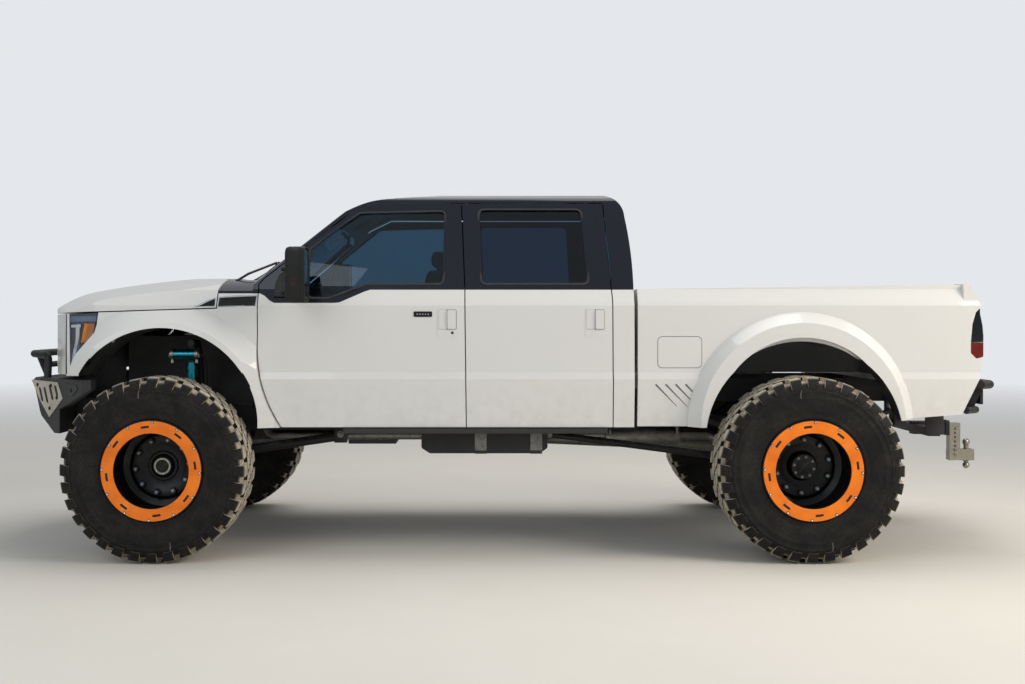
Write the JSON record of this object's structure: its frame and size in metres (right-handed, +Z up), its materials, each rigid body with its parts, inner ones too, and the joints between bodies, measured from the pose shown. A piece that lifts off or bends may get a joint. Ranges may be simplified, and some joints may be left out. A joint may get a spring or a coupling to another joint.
{
  "type": "pickup truck",
  "caption": "Lifted crew-cab pickup truck, white below and dark above, on large lugged off-road tyres with orange clamping rings on the wheels",
  "frame": {"origin": "on the ground, midway between the two ends, on the centre plane", "axes": "+X forward, +Y to the vehicle's left, +Z up"},
  "size_m": [6.442, 2.66, 2.3],
  "materials": {
    "pearl_white": "gloss pearl white paint over a clear coat",
    "navy_black": "satin blue-black paint",
    "chassis_black": "black powder coat, slightly textured",
    "rim_black": "satin black rim with an orange clamping ring",
    "tyre_rubber": "dark moulded rubber with dust on the lugs",
    "black_plastic": "grained black plastic",
    "cabin_plastic": "soft dark cabin plastic",
    "seat_fabric": "dark woven seat cloth",
    "tinted_glass": "clear glass with a light blue-grey tint",
    "lamp_lens": "smoked gloss lens",
    "cast_block": "rough cast iron",
    "dull_steel": "dull worn steel",
    "cast_aluminium": "machined aluminium",
    "teal_anodised": "teal anodised aluminium"
  },
  "bodies": {
    "chassis": {"frame": "chassis_black", "cab": "pearl_white", "cab_glass": "tinted_glass", "cowl": "navy_black", "dashboard": "cabin_plastic", "seats": "seat_fabric", "fender_left": "pearl_white", "fender_right": "pearl_white", "wheel_liners": "black_plastic", "grille": "pearl_white", "headlamps": "lamp_lens", "radiator_support": "black_plastic", "front_bumper": "chassis_black", "bull_bar": "chassis_black", "engine": "cast_block", "fuel_tank": "black_plastic", "exhaust": "dull_steel", "bed_box": "pearl_white", "bed_side_left": "pearl_white", "bed_side_right": "pearl_white", "tail_lamps": "lamp_lens", "rear_bumper": "chassis_black", "ball_mount": "cast_aluminium", "front_axle": "chassis_black", "rear_axle": "chassis_black", "front_springs": "chassis_black", "leaf_springs": "chassis_black", "shock_absorbers": "teal_anodised", "suspension_links": "chassis_black", "drive_shafts": "dull_steel", "side_steps": "black_plastic"},
    "hood": {"hood": "pearl_white"},
    "tailgate": {"tailgate": "pearl_white"},
    "knuckle_left": {"knuckle_left": "chassis_black"},
    "knuckle_right": {"knuckle_right": "chassis_black"},
    "tie_rod": {"tie_rod": "chassis_black"},
    "front_door_left": {"front_door_left": "pearl_white", "front_door_glass_left": "tinted_glass", "mirror_left": "black_plastic"},
    "rear_door_left": {"rear_door_left": "pearl_white", "rear_door_glass_left": "tinted_glass"},
    "wheel_front_left": {"wheel_front_left": "rim_black", "tyre_front_left": "tyre_rubber"},
    "wheel_rear_left": {"wheel_rear_left": "rim_black", "tyre_rear_left": "tyre_rubber"},
    "front_door_right": {"front_door_right": "pearl_white", "front_door_glass_right": "tinted_glass", "mirror_right": "black_plastic"},
    "rear_door_right": {"rear_door_right": "pearl_white", "rear_door_glass_right": "tinted_glass"},
    "wheel_front_right": {"wheel_front_right": "rim_black", "tyre_front_right": "tyre_rubber"},
    "wheel_rear_right": {"wheel_rear_right": "rim_black", "tyre_rear_right": "tyre_rubber"}
  },
  "joints": [
    {"name": "hood_hinge", "type": "hinge", "parent": "chassis", "child": "hood", "pos_m": [1.87, 0, 1.738], "axis": [0, -1, 0], "range_deg": [0, 50]},
    {"name": "tailgate_hinge", "type": "hinge", "parent": "chassis", "child": "tailgate", "pos_m": [-2.866, 0, 1.175], "axis": [0, -1, 0], "range_deg": [0, 90]},
    {"name": "front_door_left_hinge", "type": "hinge", "parent": "chassis", "child": "front_door_left", "pos_m": [1.57, 1.012, 1.3], "axis": [0, 0, -1], "range_deg": [0, 65]},
    {"name": "rear_door_left_hinge", "type": "hinge", "parent": "chassis", "child": "rear_door_left", "pos_m": [0.2795, 1.012, 1.3], "axis": [0, 0, -1], "range_deg": [0, 65]},
    {"name": "steering_left", "type": "hinge", "parent": "chassis", "child": "knuckle_left", "pos_m": [2.186, 0.88, 0.562], "axis": [0, 0, 1], "range_deg": [-14, 14]},
    {"name": "front_wheel_left_axle", "type": "hinge", "parent": "knuckle_left", "child": "wheel_front_left", "pos_m": [2.186, 1.1145, 0.562], "axis": [0, 1, 0], "continuous": true},
    {"name": "rear_wheel_left_axle", "type": "hinge", "parent": "chassis", "child": "wheel_rear_left", "pos_m": [-1.781, 1.1145, 0.562], "axis": [0, 1, 0], "continuous": true},
    {"name": "front_door_right_hinge", "type": "hinge", "parent": "chassis", "child": "front_door_right", "pos_m": [1.57, -1.012, 1.3], "axis": [0, 0, 1], "range_deg": [0, 65]},
    {"name": "rear_door_right_hinge", "type": "hinge", "parent": "chassis", "child": "rear_door_right", "pos_m": [0.2795, -1.012, 1.3], "axis": [0, 0, 1], "range_deg": [0, 65]},
    {"name": "steering_right", "type": "hinge", "parent": "chassis", "child": "knuckle_right", "pos_m": [2.186, -0.88, 0.562], "axis": [0, 0, 1], "range_deg": [-14, 14]},
    {"name": "front_wheel_right_axle", "type": "hinge", "parent": "knuckle_right", "child": "wheel_front_right", "pos_m": [2.186, -1.1145, 0.562], "axis": [0, 1, 0], "continuous": true},
    {"name": "rear_wheel_right_axle", "type": "hinge", "parent": "chassis", "child": "wheel_rear_right", "pos_m": [-1.781, -1.1145, 0.562], "axis": [0, 1, 0], "continuous": true},
    {"name": "tie_rod_pivot", "type": "hinge", "parent": "knuckle_left", "child": "tie_rod", "pos_m": [2.401, 0.88, 0.59], "axis": [0, 0, 1], "range_deg": [-14, 14]}
  ],
  "couplings": [
    {"joint": "steering_right", "follows": "steering_left", "ratio": 1},
    {"joint": "tie_rod_pivot", "follows": "steering_left", "ratio": -1}
  ]
}
